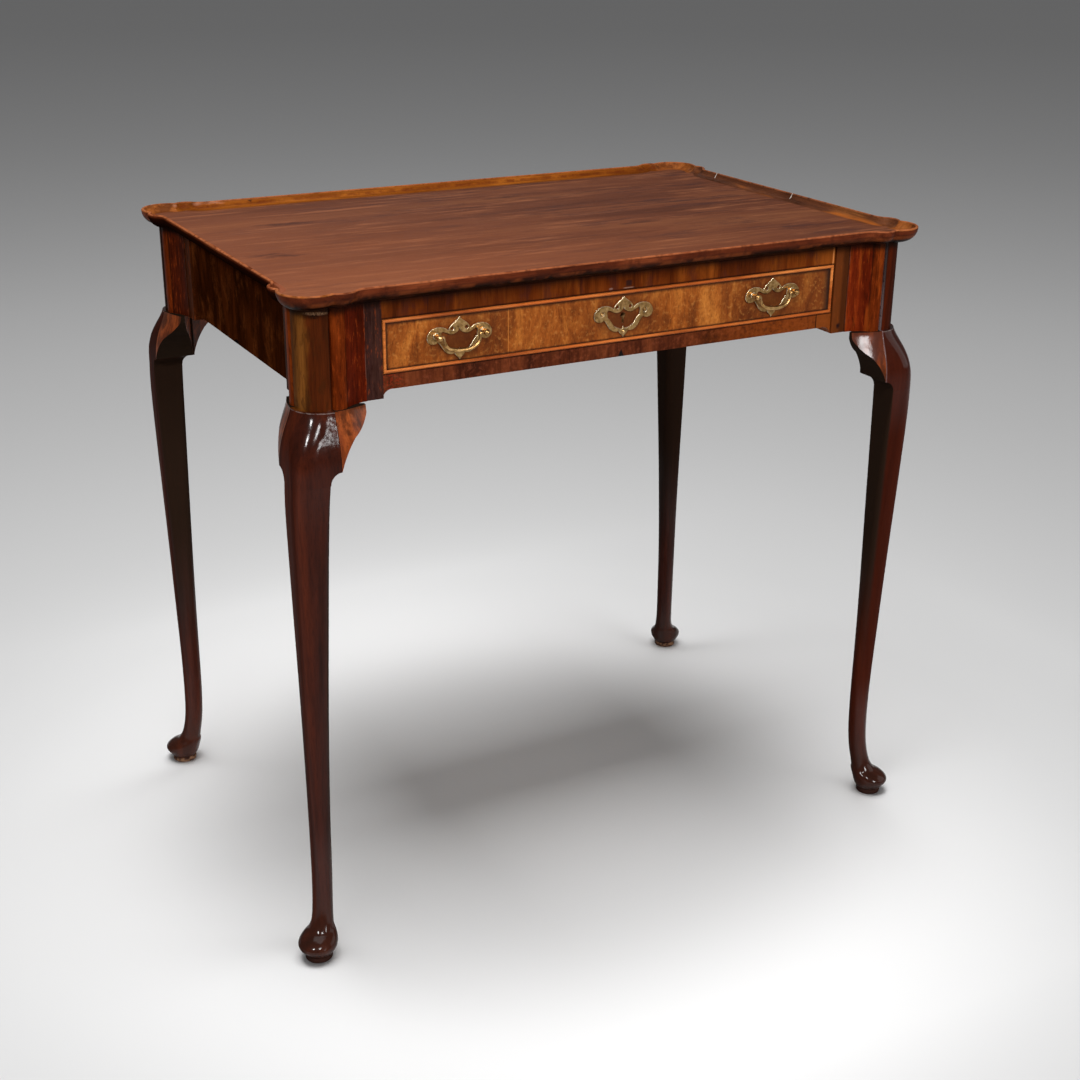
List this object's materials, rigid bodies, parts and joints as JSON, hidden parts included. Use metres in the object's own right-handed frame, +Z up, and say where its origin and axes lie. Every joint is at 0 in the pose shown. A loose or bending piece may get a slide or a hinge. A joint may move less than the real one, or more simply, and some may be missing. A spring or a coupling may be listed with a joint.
{
  "type": "tray top tea table",
  "caption": "Tea table with a rimmed tray top on shaped corners, a frieze drawer with brass bail handles, and slender curved legs on pad feet.",
  "frame": {"origin": "on the floor, below the middle of the tray", "axes": "+Z up, the drawer front faces -Y, +X to the right seen from the front"},
  "size_m": [0.7666, 0.5106, 0.7],
  "materials": {
    "tray_mahogany": "waxed satin, reddish brown, long grain",
    "leg_mahogany": "dark polished",
    "cheek_mahogany": "polished, upright grain",
    "rail_veneer": "polished crossbanded veneer",
    "frieze_veneer": "polished dark veneer, upright grain",
    "drawer_veneer": "polished golden veneer",
    "bead_wood": "worn light edge",
    "inner_oak": "raw, aged",
    "brass": "old cast brass, rubbed bright at the edges",
    "lock_iron": "dull",
    "screw_steel": "dull"
  },
  "bodies": {
    "carcass": {"cheek_back_left_back": "cheek_mahogany", "cheek_back_left_side": "cheek_mahogany", "cheek_back_right_back": "cheek_mahogany", "cheek_back_right_side": "cheek_mahogany", "cheek_front_left_front": "cheek_mahogany", "cheek_front_left_side": "cheek_mahogany", "cheek_front_right_front": "cheek_mahogany", "cheek_front_right_side": "cheek_mahogany", "drawer_runner_left": "inner_oak", "drawer_runner_right": "inner_oak", "drawer_stops": "inner_oak", "ear_back_left_back": "leg_mahogany", "ear_back_left_side": "leg_mahogany", "ear_back_right_back": "leg_mahogany", "ear_back_right_side": "leg_mahogany", "ear_front_left_front": "leg_mahogany", "ear_front_left_side": "leg_mahogany", "ear_front_right_front": "leg_mahogany", "ear_front_right_side": "leg_mahogany", "frieze_back": "frieze_veneer", "frieze_left": "frieze_veneer", "frieze_right": "frieze_veneer", "glue_blocks": "inner_oak", "kicker_left": "inner_oak", "kicker_right": "inner_oak", "leg_back_left": "leg_mahogany", "leg_back_right": "leg_mahogany", "leg_front_left": "leg_mahogany", "leg_front_right": "leg_mahogany", "rail_bottom_front": "rail_veneer", "rail_top_front": "rail_veneer", "rim_back": "tray_mahogany", "rim_corner_back_left": "tray_mahogany", "rim_corner_back_right": "tray_mahogany", "rim_corner_front_left": "tray_mahogany", "rim_corner_front_right": "tray_mahogany", "rim_front": "tray_mahogany", "rim_left": "tray_mahogany", "rim_right": "tray_mahogany", "top_screws": "screw_steel", "tray_board": "tray_mahogany"},
    "drawer": {"backplate_left": "brass", "backplate_right": "brass", "cock_bead_bottom": "bead_wood", "cock_bead_left": "bead_wood", "cock_bead_right": "bead_wood", "cock_bead_top": "bead_wood", "drawer_back": "inner_oak", "drawer_bottom": "inner_oak", "drawer_front": "drawer_veneer", "drawer_side_left": "inner_oak", "drawer_side_right": "inner_oak", "escutcheon": "brass", "escutcheon_pins": "brass", "handle_nuts": "brass", "handle_posts": "brass", "lock_case": "lock_iron"},
    "bail_left": {"bail_left": "brass"},
    "bail_right": {"bail_right": "brass"},
    "lock_bolt": {"lock_bolt": "lock_iron"}
  },
  "joints": [
    {"name": "drawer_slide", "type": "slide", "parent": "carcass", "child": "drawer", "axis": [0, -1, 0], "range_m": [0, 0.3]},
    {"name": "bail_left_swing", "type": "hinge", "parent": "drawer", "child": "bail_left", "pos_m": [-0.1828, -0.2213, 0.6407], "axis": [-1, 0, 0], "range_deg": [0, 100]},
    {"name": "bail_right_swing", "type": "hinge", "parent": "drawer", "child": "bail_right", "pos_m": [0.1828, -0.2213, 0.6407], "axis": [-1, 0, 0], "range_deg": [0, 100]},
    {"name": "lock_bolt_throw", "type": "slide", "parent": "drawer", "child": "lock_bolt", "axis": [0, 0, 1], "range_m": [0, 0.008]}
  ]
}
